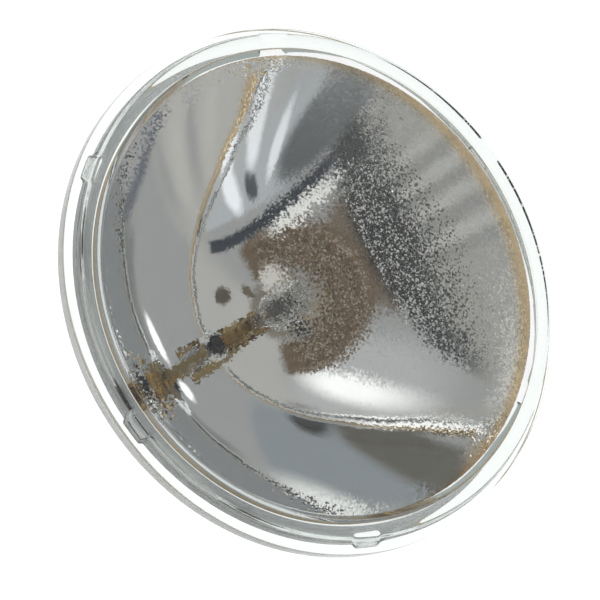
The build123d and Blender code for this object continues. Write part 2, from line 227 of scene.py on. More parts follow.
gloss_panels = [panel("lens sheen", (0.10, 0.10, 0.10), tilt=(open_low, 70, 6))]
rim_panels = [
    panel("rim room", (0.80, 0.82, 0.81), tilt=(open_low, 180, 1)),
    panel("rim horizon", (0.36, 0.40, 0.385), tilt=(72, 92, 4)),
]
once_panels = [
    panel("far wall", (0.44, 0.43, 0.41), tilt=(20, 64, 4), turn=(38, 142, 10)),
    panel("near room", (0.35, 0.34, 0.31), ring=(4, 38, 95.1, 300, 2), turn=(-170, -30, 8)),
    *[
        panel("near fold", colour, oval=(side, -65, 3, 12, 0, 0.7))
        for side, colour in zip((-21, -14, -5, 3, 11, 17, 24, 31), (fold_shade, fold_pale) * 4)
    ],
    panel("dark corner", (0.004, 0.004, 0.004), tilt=(61, 90, 2), turn=(111, 151, 5)),
    panel("left glow", (0.47, 0.47, 0.47), oval=(-53, 5, 22, 32, 0, 0.3)),
    panel("left soft box", (1.25, 1.24, 1.22), oval=(-55, 10, 17, 9, 30, 0.6)),
    panel("table edge", (0.14, 0.105, 0.075), tilt=(40, 52, 1.5), turn=(-132, -48, 8)),
    panel("warm table", (0.115, 0.075, 0.04), tilt=(22, 42.5, 1.5), turn=(-218, 18, 5)),
    *[
        panel("table line", colour, tilt=(tilt, tilt + 0.9, 0.3), turn=(-205, 5, 10))
        for tilt, colour in zip((24, 27, 30, 33, 36, 39), (table_dark, table_pale) * 3)
    ],
    panel("middle", (0.17, 0.145, 0.11), tilt=(open_low, 20, 3)),
    panel("table front", (0.25, 0.205, 0.15), tilt=(9, 22, 2), turn=(-160, -98, 6)),
    panel("window", (0.60, 0.57, 0.52), oval=(18, -2, 7, 6.5, 0, 0.35)),
    panel("window sill", (0.54, 0.52, 0.48), oval=(7, -9, 6, 3, -20, 0.4)),
    panel("dark knob", (0.0, 0.0, 0.0), oval=(-16, -1, 5, 4.5, 0, 0.3)),
    panel("brown knob", (0.07, 0.05, 0.035), oval=(23, 33, 5, 6, 0, 0.2)),
    panel("brown stem", (0.10, 0.075, 0.05), oval=(18, 15, 5, 2.5, 30, 0.3)),
    panel(
        "dark arc", (0.006, 0.006, 0.006),
        ring=(5, 97, 140.0, 300, 2.0), oval=(4, 38, 96.1, 96.1, 0, 0.015),
    ),
    *[
        panel("arc glint", (0.5, 0.5, 0.48), ring=(5, 68, r, r + 0.8, 0.2), turn=(-145, -48, 4))
        for r in (113.5, 117, 120.5)
    ],
    panel("right room", (0.44, 0.46, 0.48), side=(53, 99, 1), ahead=(-24, 40, 3)),
    panel("right flag", (0.085, 0.09, 0.095), oval=(64, -27, 10, 17, 12, 0.25)),
    panel("small flag", (0.05, 0.055, 0.065), oval=(61, 3, 6, 2.8, 35, 0.3)),
    panel("upper fan", (1.0, 1.02, 1.07), oval=(63, 16, 11, 4, 38, 0.4)),
    panel("middle fan", (0.95, 0.98, 1.02), oval=(76, 5, 10, 3.8, 8, 0.4)),
    panel("lower fan", (0.90, 0.92, 0.95), oval=(68, -8, 8, 2.6, -12, 0.4)),
    panel("strip light", (0.85, 0.84, 0.80), oval=(40.5, -23, 3.5, 16, 4, 0.3)),
    panel("dark bar", (0.012, 0.016, 0.028), ring=(264, 13, 216, 221.5, 0.7), ahead=(-36, 33, 2)),
    panel("room edge", (0.80, 0.77, 0.70), ring=(9, 18, 92.4, 120, 1.0), turn=(-176, -70, 6)),
    panel("horizon", (0.50, 0.52, 0.51), tilt=(86, 180, 2)),
]
twice_panels = [
    panel("right wall", (0.47, 0.455, 0.42), tilt=(open_low, 52, 3), turn=(-80, -8, 10)),
    *[
        panel("wall fold", colour, oval=(side, ahead, 13, 2.2, lean, 0.8))
        for side, ahead, lean, colour in (
            (34, -6, -4, wall_shade), (31, -13, -20, wall_pale),
            (27, -19, -34, wall_shade), (21, -24, -50, wall_pale),
        )
    ],
    panel("left wall", (0.24, 0.265, 0.285), tilt=(14, 50, 3), turn=(148, 212, 6)),
    panel("soft box again", (0.95, 0.95, 0.92), oval=(-62, 20, 18, 17, 0, 0.5)),
    panel("high shade", (0.17, 0.18, 0.175), tilt=(45, 80, 3), turn=(28, 132, 8)),
    panel("low shade", (0.08, 0.07, 0.052), tilt=(15, 46, 3), turn=(-150, -112, 6)),
    panel("tan edge again", (0.34, 0.26, 0.17), side=(-50, -6, 8), ahead=(-60, -31, 1.5)),
    panel("dark spot", (0.01, 0.01, 0.01), oval=(-15, -4, 4.5, 4, 0, 0.4)),
    panel("lamp slot", slot_white, oval=(12, 35.7, 7.5, 2.8, -4, 0.45)),
    panel("lamp slot end", slot_white, oval=(-7, 35.7, 3.5, 2.8, 4, 0.45)),
    panel("bar again", (0.10, 0.105, 0.135), ring=(264, 13, 213.5, 219, 1.8), ahead=(-12, 34, 3)),
    panel("horizon", (0.45, 0.40, 0.33), tilt=(86, 180, 2)),
]

# Each class of light ends at a ray depth: lens gloss, the rim's glass, and one, two and three reflections.
light_classes = [
    (2.5, room_grey, gloss_panels),
    (5.5, room_grey, rim_panels),
    (6.5, room_grey, once_panels),
    (7.5, room_grey, twice_panels),
    (8.5, third_grey, []),
]
# Past the last class, light that was reflected more often than this is piped along the rim's glass.
piped_depth = 3.5
fill_level = 0.72
print("studio panels:", sum(len(panels) for _, _, panels in light_classes))

# %% Studio masks


def band_group():
    """Mask that is 1 where Value lies between Low and High, and falls to 0 over twice Soft."""
    tree, inside, outside = new_group("studio_band", ("Value", "Low", "High", "Soft"), ("Mask",))
    sides = []
    for first, second in (("Value", "Low"), ("High", "Value")):
        past = calc("SUBTRACT", inside[first], inside[second])
        sides.append(ramp(calc("DIVIDE", past, inside["Soft"]), -1.0, 1.0))
    feed(outside, {"Mask": calc("MULTIPLY", *sides)})
    return tree


def chart_place(direction):
    """Tilt, turn, side and ahead of a direction on the studio's chart, all in degrees."""
    right, far, up = (vector_node("DOT_PRODUCT", direction, axis) for axis in (RIGHT, FAR, UP))
    tilt = calc("DEGREES", calc("ARCCOSINE", up))
    turn = calc("ARCTAN2", far, right)
    return {
        "tilt": tilt,
        "turn": calc("DEGREES", turn),
        "side": calc("MULTIPLY", tilt, calc("COSINE", turn)),
        "ahead": calc("MULTIPLY", tilt, calc("SINE", turn)),
    }


def distance_from(place, side, ahead, lean=0.0, width=1.0, height=1.0):
    """Distance on the chart from a centre, along axes turned by lean and shrunk by width and height."""
    a = math.radians(lean)
    off = [calc("SUBTRACT", place[k], v) for k, v in (("side", side), ("ahead", ahead))]
    squares = []
    for shares, size in (((math.cos(a), math.sin(a)), width), ((-math.sin(a), math.cos(a)), height)):
        parts = [calc("MULTIPLY", o, k / size) for o, k in zip(off, shares)]
        along = calc("ABSOLUTE", calc("ADD", *parts))
        squares.append(calc("POWER", along, 2.0))
    return calc("SQRT", calc("ADD", *squares))


def panel_masks(tree, band, place, shape):
    """Masks of a panel's bands, turn, oval and ring."""
    def mask_of(value, low, high, soft):
        return place_group(band, value, low, high, soft)["Mask"]

    masks = [mask_of(place[k], *shape[k]) for k in ("tilt", "side", "ahead") if k in shape]
    if "turn" in shape:
        low, high, soft = shape["turn"]
        off = calc("SUBTRACT", place["turn"], (low + high) / 2)
        wrap = add_node(tree, "Math", {0: off, 1: 180.0, 2: -180.0}, operation="WRAP")
        masks.append(mask_of(wrap.outputs[0], (low - high) / 2, (high - low) / 2, soft))
    if "oval" in shape:
        side, ahead, width, height, lean, soft = shape["oval"]
        reach = distance_from(place, side, ahead, lean, width, height)
        masks.append(mask_of(reach, open_low, 1.0, soft))
    if "ring" in shape:
        side, ahead, low, high, soft = shape["ring"]
        masks.append(mask_of(distance_from(place, side, ahead), low, high, soft))
    return masks


# %% Studio world


def plain_light(tree, colour):
    """Background of one colour, or of a colour socket."""
    return add_node(tree, "Background", {"Color": colour}).outputs[0]


def panel_light(tree, band, place, base, panels):
    """Background of one class of light: its panels painted one over the other on the base colour."""
    colour = base
    for shape in panels:
        mask = 1.0
        for part in panel_masks(tree, band, place, shape):
            mask = calc("MULTIPLY", part, mask)
        colour = blend(mask, colour, shape["colour"])
        colour.node.label = shape["name"]
    return plain_light(tree, colour)


def mix_light(share, first, second):
    """Shader between two shaders, by a share."""
    return add_node(share.id_data, "MixShader", {0: share, 1: first, 2: second}).outputs[0]


def make_world():
    """World with the studio for mirror and glass rays, even light for matt ones, white for the camera."""
    world = bpy.data.worlds.new("studio")
    scene.world = world
    world.use_nodes = True
    tree = world.node_tree
    tree.nodes.remove(tree.nodes["Background"])
    path = add_node(tree, "LightPath").outputs
    place = chart_place(add_node(tree, "TexCoord").outputs["Generated"])
    band = band_group()
    piped = calc("GREATER_THAN", path["Glossy Depth"], piped_depth)
    shown = mix_light(piped, plain_light(tree, deep_grey), plain_light(tree, piped_grey))
    for end, base, panels in reversed(light_classes):
        within = calc("LESS_THAN", path["Ray Depth"], end)
        shown = mix_light(within, shown, panel_light(tree, band, place, base, panels))
    sharp = calc("MAXIMUM", path["Is Glossy Ray"], path["Is Transmission Ray"])
    sharp = calc("MULTIPLY", sharp, calc("LESS_THAN", path["Diffuse Depth"], 0.5))
    shown = mix_light(sharp, plain_light(tree, (fill_level,) * 3), shown)
    shown = mix_light(path["Is Camera Ray"], shown, plain_light(tree, (1, 1, 1)))
    feed(tree.nodes["World Output"], {"Surface": shown})
    return world


world = make_world()
print("studio nodes:", len(world.node_tree.nodes))

# %% [markdown]
# ## Floor and lamp
#
# The bulb hangs by its rim, so the floor lies well below it. It is matt and pale with a faint shadow.
# A glow, seen only by the camera and by glass and mirror rays, lifts it to white without adding light
# to the bulb. In the mirror it is dull, and tan at the first reflection, as a table top would be.

# %% Floor and lamp
floor_z = -0.7
floor_half = 30.0
floor_glow = 0.35
floor_rough = 0.9
floor_white = (0.9, 0.9, 0.9)
floor_dull = (0.5, 0.5, 0.48)
floor_tan = (0.62, 0.46, 0.28)
mirror_depths = (4.5, 5.5)
lamp_tilt, lamp_turn = 50, 172
lamp_distance = 1.5
lamp_size = 0.9
lamp_power = 9.0


def floor_finish():
    """Matt white with a glow for camera, glass and piped rays; dull without it for the mirror's rays."""
    material, tree, shader = new_material(
        "floor", Roughness=floor_rough, Specular_IOR_Level=0.0, Emission_Color=(1, 1, 1)
    )
    path = add_node(tree, "LightPath").outputs
    seen = calc("MAXIMUM", path["Is Camera Ray"], path["Is Glossy Ray"])
    seen = calc("MAXIMUM", seen, path["Is Transmission Ray"])
    deep = calc("GREATER_THAN", path["Ray Depth"], mirror_depths[0])
    piped = calc("GREATER_THAN", path["Glossy Depth"], piped_depth)
    deep = calc("MULTIPLY", deep, calc("SUBTRACT", 1.0, piped))
    once = calc("LESS_THAN", path["Ray Depth"], mirror_depths[1])
    dull = blend(once, floor_dull, floor_tan)
    feed(shader, {"Base Color": blend(deep, floor_white, dull)})
    seen = calc("MULTIPLY", seen, calc("SUBTRACT", 1.0, deep))
    feed(shader, {"Emission Strength": calc("MULTIPLY", seen, floor_glow)})
    return material


def make_floor():
    """Flat square far below the bulb."""
    corners = np.array([(-1, -1), (1, -1), (1, 1), (-1, 1)]) * floor_half
    points = np.column_stack([corners, np.full(4, floor_z)])
    mesh = bpy.data.meshes.new("floor")
    mesh.from_pydata(points.tolist(), [], [(0, 1, 2, 3)])
    mesh.materials.append(floor_finish())
    floor = bpy.data.objects.new("floor", mesh)
    scene.collection.objects.link(floor)
    return floor


def make_lamp():
    """Square soft lamp on the left soft box's side; mirrors and glass see the studio's box instead."""
    lamp = bpy.data.objects.new("lamp", bpy.data.lights.new("lamp", "AREA"))
    lamp.data.size = lamp_size
    lamp.data.energy = lamp_power
    towards = Vector(aim(lamp_tilt, lamp_turn))
    lamp.location = lamp_distance * towards
    lamp.rotation_euler = towards.to_track_quat("Z", "Y").to_euler()
    lamp.visible_camera = lamp.visible_glossy = lamp.visible_transmission = False
    scene.collection.objects.link(lamp)
    return lamp


floor = make_floor()
lamp = make_lamp()
print("floor at", floor_z, "lamp at", [round(x, 2) for x in lamp.location])

# %% [markdown]
# ## Helpers for surfaces
#
# Every new piece is a grid of points worked out with numpy, most often a profile turned about the axis.
# Corners of a profile get small arcs, because smooth shading needs a surface that turns the corner.

# %% Surface helpers


def rounded_profile(corners):
    """Points of a profile in (radius, height): a corner (r, z, rounding in mm, steps) becomes an arc.

    The arc starts and ends at rounding * tan(turn / 2) before and after the corner, and its middle is
    a quadratic curve through those two points with the corner as its control point.
    """
    corners = [np.array(c, float) for c in corners]
    points = [corners[0][:2]]
    for before, here, after in zip(corners, corners[1:], corners[2:]):
        back = (before - here)[:2] / np.linalg.norm((before - here)[:2])
        ahead = (after - here)[:2] / np.linalg.norm((after - here)[:2])
        if here[2] == 0:
            points.append(here[:2])
            continue
        turn = math.pi - math.acos(np.clip(back @ ahead, -1, 1))
        reach = here[2] * MM * math.tan(turn / 2)
        t = np.linspace(0, 1, int(here[3]))[:, None]
        start, end = here[:2] + reach * back, here[:2] + reach * ahead
        points.extend((1 - t) ** 2 * start + 2 * t * (1 - t) * here[:2] + t**2 * end)
    points.append(corners[-1][:2])
    return np.array(points)


def even_angles(count, first=0.0):
    """Angles of a full turn in equal steps."""
    return first + 2 * math.pi * np.arange(count) / count


def turned_points(profile, angles):
    """Points (r cos a, r sin a, z) for each profile point and each angle, profile first."""
    r, z = profile[:, 0], profile[:, 1]
    x = r[:, None] * np.cos(angles)
    y = r[:, None] * np.sin(angles)
    return np.stack([x, y, np.broadcast_to(z[:, None], x.shape)], -1)


def ring_faces(first, second):
    """Quads between two closed rings of vertex numbers of equal length."""
    return np.stack([first, np.roll(first, -1), np.roll(second, -1), second], -1)


def ease(t):
    """Smooth step from 0 to 1: three t squared less two t cubed, with t held between 0 and 1."""
    t = np.clip(t, 0, 1)
    return t * t * (3 - 2 * t)


# %% Mesh helpers


def make_piece(name, points, faces, materials, face_materials=None):
    """Smooth mesh object at the origin from points and lists of face arrays, riding on the bulb."""
    mesh = bpy.data.meshes.new(name)
    rows = [row for block in faces for row in np.asarray(block).tolist()]
    mesh.from_pydata(np.asarray(points).reshape(-1, 3).tolist(), [], rows)
    for material in materials:
        mesh.materials.append(material)
    if face_materials is not None:
        mesh.polygons.foreach_set("material_index", np.concatenate(face_materials).astype(np.int32))
    mesh.polygons.foreach_set("use_smooth", np.ones(len(rows), bool))
    mesh.validate()
    mesh.update()
    piece = bpy.data.objects.new(name, mesh)
    scene.collection.objects.link(piece)
    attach(piece, "root")
    print(name, "triangles:", sum(len(p.vertices) - 2 for p in mesh.polygons))
    return piece


def ripples(x, y, waves, shortest, longest, seed):
    """Random ripples of unit spread: a sum of sine waves of random direction, length and phase."""
    rng = np.random.default_rng(seed)
    angle = rng.uniform(0, 2 * math.pi, waves)
    number = 2 * math.pi / rng.uniform(shortest, longest, waves)
    phase = rng.uniform(0, 2 * math.pi, waves)
    total = np.zeros(np.shape(x))
    for k, a, p in zip(number, angle, phase):
        total += np.sin(k * (x * math.cos(a) + y * math.sin(a)) + p)
    return total * math.sqrt(2 / waves)


# %% [markdown]
# ## Glass finishes
#
# Pressed glass is clear, faintly green, and never quite flat: the mould leaves long low ripples.
# One group makes those ripples for every glass and for the mirror film.
# The lens is stippled inside with small facets, each leaning its own way, which break up what it shows.

# %% Glass helpers


def noise(vector, scale, detail, rough=0.5):
    """Noise from 0 to 1 at a scale, with finer layers of detail."""
    return add_node(
        vector.id_data, "TexNoise",
        {"Vector": vector, "Scale": scale, "Detail": detail, "Roughness": rough},
    ).outputs["Fac"]


def ripple_group():
    """Height of mould ripples: two sizes of noise on Object coordinates, added."""
    tree, inside, outside = new_group(
        "mould_ripple", ("Vector", "Long scale", "Fine scale", "Fine share"), ("Height",)
    )
    slow, fine = (noise(inside["Vector"], inside[k], 1.0) for k in ("Long scale", "Fine scale"))
    fine = calc("MULTIPLY", fine, inside["Fine share"])
    feed(outside, {"Height": calc("ADD", slow, fine)})
    return tree


mould_ripple = ripple_group()


def object_coords(tree):
    """The piece's own Object coordinates, in metres."""
    return add_node(tree, "TexCoord").outputs["Object"]


def reach_from(place, middle):
    """Distance of a place from the line along Z through a middle on the ground plane."""
    return vector_node("DISTANCE", vector_node("MULTIPLY", place, (1.0, 1.0, 0.0)), middle)


def add_bump(shader, height, depth):
    """Bump of a height socket, by a depth, into the shader's Normal."""
    bump = add_node(height.id_data, "Bump", {"Height": height, "Distance": depth, "Strength": 1.0})
    feed(shader, {"Normal": bump.outputs["Normal"]})


def add_ripple(shader, place, long_scale, fine_scale, fine_share, depth):
    """Mould ripples as a bump."""
    ripple = place_group(mould_ripple, place, long_scale, fine_scale, fine_share)
    add_bump(shader, ripple["Height"], depth)


# %% Glass materials
glass_index = 1.473
quartz_index = 1.458
lens_tint = (0.985, 0.995, 0.988)
facet_scale = 1300.0
facet_lean = 0.20
facet_back = 0.15
facet_middle = (18.3 * MM, -5.1 * MM, 0.0)
facet_core = 30.0 * MM
facet_fade = 57.0 * MM
facet_rest = 0.08
facet_edge = (77.0 * MM, 85.0 * MM)
facet_edge_share = 0.45


def glass(name, tint, index):
    """Smooth clear glass. Returns its material, tree and shader."""
    return new_material(name, Base_Color=tint, Roughness=0.0, IOR=index, Transmission_Weight=1.0)


def clear_glass(name, tint, index, *ripple):
    """Clear pressed glass with mould ripples, as listed for add_ripple."""
    material, tree, shader = glass(name, tint, index)
    add_ripple(shader, object_coords(tree), *ripple)
    return material


def stippled_glass(name, tint):
    """Pressed glass in small facets: each cell's normal leans by a random amount towards a random side.

    The lean is full within the core about its middle, falls to a small rest outside the fade, and
    grows again at the dome's edge. Light on its way out of the bowl meets facets of a smaller lean.
    """
    material, tree, shader = glass(name, tint, glass_index)
    place = object_coords(tree)
    core = ramp(reach_from(place, facet_middle), facet_core, facet_fade, 1.0, facet_rest)
    edge = ramp(reach_from(place, (0.0, 0.0, 0.0)), *facet_edge, 0.0, facet_edge_share)
    share = calc("MAXIMUM", core, edge)
    surface = add_node(tree, "NewGeometry").outputs
    way = ramp(surface["Backfacing"], 0.0, 1.0, facet_back, 1.0, smooth=False)
    lean = calc("MULTIPLY", calc("MULTIPLY", share, way), 2 * facet_lean)
    cells = add_node(tree, "TexVoronoi", {"Vector": place, "Scale": facet_scale})
    tilt = vector_node("SUBTRACT", cells.outputs["Color"], (0.5, 0.5, 0.5))
    tilt = add_node(tree, "VectorMath", {0: tilt, "Scale": lean}, operation="SCALE").outputs[0]
    leaning = vector_node("ADD", surface["Normal"], tilt)
    feed(shader, {"Normal": vector_node("NORMALIZE", leaning)})
    return material


lens_clear = clear_glass("lens_clear", lens_tint, glass_index, 60.0, 300.0, 0.1, 0.06 * MM)
lens_stippled = stippled_glass("lens_stippled", lens_tint)
bowl_glass = clear_glass("bowl_glass", (0.93, 0.965, 0.95), glass_index, 60.0, 250.0, 0.1, 0.08 * MM)
quartz = clear_glass("quartz_clear", (0.99, 0.995, 1.0), quartz_index, 200.0, 600.0, 0.2, 0.05 * MM)
tube_glass = clear_glass("exhaust_glass", (0.97, 0.99, 0.975), glass_index, 150.0, 500.0, 0.2, 0.05 * MM)
print("glasses:", [m.name for m in (lens_clear, lens_stippled, bowl_glass, quartz, tube_glass)])

# %% [markdown]
# ## The lens
#
# The lens is one pressing: a shallow dome, a small step, a flat shoulder and a drafted skirt that is
# welded to the bowl's flange. The skirt's foot is cut back between six webs.
# The inside is a square grid folded into a disc, so that its slight waves have even points all over.
# The rim is a turned profile with as many points round it, and the smooth outside gets a quarter of them.

# %% Lens sizes
_, lens_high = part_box("lens")
bowl_low, bowl_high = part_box("reflector")
rim_radius = bowl_high.x
seam_z = bowl_high.z
apex_z = lens_high.z
skirt_foot = lens_high.x
skirt_draft = 2.7 * MM
skirt_top = skirt_foot - skirt_draft
seal_width = 8.2 * MM
mouth_radius = skirt_foot - seal_width
skirt_height = 6.2 * MM
skirt_levels = np.array([0.9, 1.8, 2.5, 2.9, 3.2, 3.5, 4.0]) * MM
corner_z = seam_z + skirt_height
shoulder_width = 5.7 * MM
dome_step = 1.4 * MM
dome_step_run = 0.8 * MM
dome_edge = skirt_top - shoulder_width - dome_step_run
dome_edge_z = corner_z + dome_step
cap_edge = dome_edge - 4.0 * MM
cap_rows = 14
lens_wall = 4.5 * MM
inner_skirt_run = 3.5 * MM
weld_lap = 0.02 * MM

inner_arc = 4

groove_height = 3.4 * MM
groove_depth = 1.6 * MM
groove_margin = 0.2 * MM
web_count = 6
web_width = 9.0 * MM
web_turn = math.radians(9.0)
web_edge = 1.3 * MM
window_round = 2.0 * MM

stipple_cells = 248
stipple_border = 2.0 * MM
stipple_depth = 0.0015 * MM
stipple_short = 2.2 * MM
stipple_long = 3.6 * MM
stipple_waves, stipple_seed = 90, 5

# %% Lens curves
dome_rise = apex_z - dome_edge_z
dome_sphere = (dome_edge**2 + dome_rise**2) / (2 * dome_rise)
inner_sphere = dome_sphere - lens_wall
inner_r = mouth_radius - inner_skirt_run
grid_r = inner_r - stipple_border
print("dome radius", round(dome_sphere / MM, 1), "mm")


def cap_z(radius, r):
    """Height, at a distance r from the axis, of a sphere of a radius about the dome's centre."""
    return apex_z - dome_sphere + np.sqrt(radius**2 - r**2)


def folded_disc(cells):
    """Unit disc on a square grid: each square ring of the grid becomes a circle of evenly spaced points.

    On the side where |x| is larger the radius is x and the angle is 45 degrees times y / x;
    on the other sides the radius is y and the angle is 90 degrees less 45 times x / y.
    """
    line = np.linspace(-1, 1, cells + 1)
    x, y = np.meshgrid(line, line, indexing="ij")
    wide = np.abs(x) >= np.abs(y)
    longer = np.where(wide, x, y)
    shorter = np.where(wide, y, x)
    share = np.divide(shorter, longer, out=np.zeros_like(x), where=longer != 0)
    angle = np.where(wide, math.pi / 4 * share, math.pi / 2 - math.pi / 4 * share)
    return longer * np.cos(angle), longer * np.sin(angle)


def grid_border(cells):
    """Vertex numbers round a square grid's border, counter-clockwise from the corner at -45 degrees."""
    number = np.arange((cells + 1) ** 2).reshape(cells + 1, cells + 1)
    return np.concatenate([number[-1, :-1], number[:0:-1, -1], number[0, :0:-1], number[:-1, 0]])


def web_window(angles, height):
    """1 in the windows between the webs and 0 on the webs, at each height above the seam.

    The distance along the rim from the nearest web's side, less a round end that grows with height,
    goes from 0 to 1 over the width of a web's edge.
    """
    step = 2 * math.pi / web_count
    off = np.abs((angles - web_turn + step / 2) % step - step / 2) * skirt_foot - web_width / 2
    lift = np.clip(height / groove_height, 0, 1)
    end = window_round * (1 - np.sqrt(np.maximum(1 - lift**2, 0)))
    return ease((off - end) / web_edge)


# %% Lens surfaces


def tube_faces(rings):
    """Blocks of quads between each ring of vertex numbers and the next."""
    return [ring_faces(a, b) for a, b in zip(rings, rings[1:])]


def lens_inside():
    """Points and faces of the inner dome: the sphere's height plus ripples that fade at the border."""
    x, y = (grid_r * u for u in folded_disc(stipple_cells))
    reach = np.hypot(x, y)
    fade = np.clip((grid_r - reach) / stipple_border, 0, 1)
    wave = ripples(x, y, stipple_waves, stipple_short, stipple_long, stipple_seed)
    z = cap_z(inner_sphere, reach) + stipple_depth * fade * wave
    n = np.arange((stipple_cells + 1) ** 2).reshape(stipple_cells + 1, -1)
    faces = np.stack([n[:-1, :-1], n[:-1, 1:], n[1:, 1:], n[1:, :-1]], -1).reshape(-1, 4)
    return np.stack([x, y, z], -1).reshape(-1, 3), faces


def lens_rim(angles):
    """Rings of the rim: a turned profile, drawn in to the groove where a window is."""
    foot_z = seam_z - weld_lap
    slope = skirt_draft / skirt_height
    profile = rounded_profile([
        (grid_r, cap_z(inner_sphere, grid_r), 0, 0),
        (inner_r, cap_z(inner_sphere, inner_r), 1.2, inner_arc),
        (mouth_radius, foot_z, 0.25, 3),
        (skirt_foot, foot_z, 0.3, 3),
        *[(skirt_foot - slope * h, seam_z + h, 0, 0) for h in skirt_levels],
        (skirt_top, corner_z, 1.4, 6),
        (dome_edge + dome_step_run, corner_z, 0.5, 4),
        (dome_edge, dome_edge_z, 0.5, 4),
        (cap_edge, cap_z(dome_sphere, cap_edge), 0, 0),
    ])[1:]
    rim = turned_points(profile, angles)
    height = profile[:, 1][:, None] - seam_z
    radius = np.broadcast_to(profile[:, 0][:, None], rim.shape[:2])
    cut = np.maximum(radius - (skirt_foot - groove_depth), 0) * web_window(angles[None, :], height)
    cut = np.where(height < groove_height + groove_margin, cut, 0)
    rim[..., :2] *= ((radius - cut) / radius)[..., None]
    return rim


def lens_cap(border, angles, first):
    """Points and faces of the outer dome, numbered from first: five triangles join four points to two."""
    few = len(border) // 4
    r = cap_edge * np.linspace(1, 0, cap_rows)[1:-1]
    points = turned_points(np.column_stack([r, cap_z(dome_sphere, r)]), angles[::4]).reshape(-1, 3)
    rings = first + np.arange(len(points)).reshape(-1, few)
    a, b, c, d = border.reshape(few, 4).T
    after, low, high = np.roll(a, -1), rings[0], np.roll(rings[0], -1)
    corners = ((a, b, low), (b, c, low), (low, c, high), (c, d, high), (d, after, high))
    zipped = np.concatenate([np.stack(triangle, -1) for triangle in corners])
    pole = np.full(few, first + len(points))
    top = np.stack([rings[-1], np.roll(rings[-1], -1), pole], -1)
    return np.concatenate([points, [[0, 0, apex_z]]]), [zipped, *tube_faces(rings), top]


# %% Lens piece


def make_lens():
    """Closed lens: stippled inner dome, rim with windows cut into its foot, smooth outer dome."""
    inner, inner_faces = lens_inside()
    border = grid_border(stipple_cells)
    angles = even_angles(len(border), -math.pi / 4)
    rim = lens_rim(angles).reshape(-1, 3)
    rings = len(inner) + np.arange(len(rim)).reshape(-1, len(border))
    cap, cap_faces = lens_cap(rings[-1], angles, len(inner) + len(rim))
    faces = [inner_faces, *tube_faces([border, *rings]), *cap_faces]
    kinds = [np.full(len(block), 1 if k <= inner_arc else 0) for k, block in enumerate(faces)]
    points = np.concatenate([inner, rim, cap])
    lens = make_piece("lens_pressing", points, faces, [lens_clear, lens_stippled], kinds)
    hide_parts("lens")
    return lens


lens = make_lens()

# %% [markdown]
# ## The reflector
#
# The bowl is a paraboloid pressed in thick glass, with a mirror film evaporated on its inside.
# The film is thin metal on the front of the glass, so from behind it shines through the clear bowl.
# Past a circle a little off the axis the film is straw-coloured, in a band at its edge that is wider on one
# side.
# The mesh is one closed ring: inside, flange, outside, neck, heel and the exhaust hole.
# Two low pads stand where the ferrules go through.

# %% Mirror film
film_tint = (0.90, 0.905, 0.91)
film_rough = 0.015
film_back_rough = 0.3
straw_tint = (0.86, 0.68, 0.44)
straw_middle = (-0.83 * MM, 0.86 * MM, 0.0)
straw_start = 87.6 * MM
straw_full = 90.6 * MM


def mirror_film():
    """Evaporated aluminium: near-perfect mirror over slow waves of the pressed glass, dull from behind.

    Its edge is straw-coloured past a circle a little off the axis, so the band is wider on one side.
    """
    material, tree, shader = new_material("mirror_film", Metallic=1.0)
    place = object_coords(tree)
    behind = add_node(tree, "NewGeometry").outputs["Backfacing"]
    straw_edge_share = ramp(reach_from(place, straw_middle), straw_start, straw_full)
    straw_edge_share = calc("MULTIPLY", straw_edge_share, calc("SUBTRACT", 1.0, behind))
    colour = blend(straw_edge_share, film_tint, straw_tint)
    rough = ramp(behind, 0.0, 1.0, film_rough, film_back_rough, smooth=False)
    feed(shader, {"Base Color": colour, "Roughness": rough})
    add_ripple(shader, place, 45.0, 200.0, 0.06, 0.05 * MM)
    return material


mirror = mirror_film()
print("mirror:", mirror.name)

# %% Reflector sizes
focal_length = 33.0 * MM
vertex_z = seam_z - mouth_radius**2 / (4 * focal_length)
bowl_wall = 5.0 * MM
heel_back_z = vertex_z - 7.0 * MM
heel_radius = 18.0 * MM
flange_back_z = -seam_z
neck_radius = 26.0 * MM
neck_wall = 5.5 * MM
neck_flare = 5.0 * MM
neck_end_z = bowl_low.z
exhaust_bore = 2.4 * MM
ferrule_x = 15.5 * MM
pad_radius = 5.2 * MM
pad_clear = 0.2 * MM
pad_z = vertex_z + (ferrule_x + pad_radius) ** 2 / (4 * focal_length) + pad_clear
pad_edge = 0.7 * MM
film_gap = 0.4 * MM
film_radius = math.sqrt(4 * focal_length * (seam_z - film_gap - vertex_z))
bowl_around = 512
heel_rows, film_rows, lip_rows, back_rows = 40, 70, 4, 36
wave_depth = 0.012 * MM
wave_short = 18.0 * MM
wave_long = 40.0 * MM
wave_fade = 10.0 * MM
wave_count, wave_seed = 24, 3

# %% Reflector surface


def bowl_inside():
    """Inner profile: the height is the vertex plus r squared over four focal lengths."""
    r = np.concatenate([
        np.linspace(exhaust_bore, heel_radius, heel_rows),
        np.linspace(heel_radius, film_radius, film_rows)[1:],
        np.linspace(film_radius, mouth_radius, lip_rows)[1:-1],
    ])
    return np.column_stack([r, vertex_z + r**2 / (4 * focal_length)])


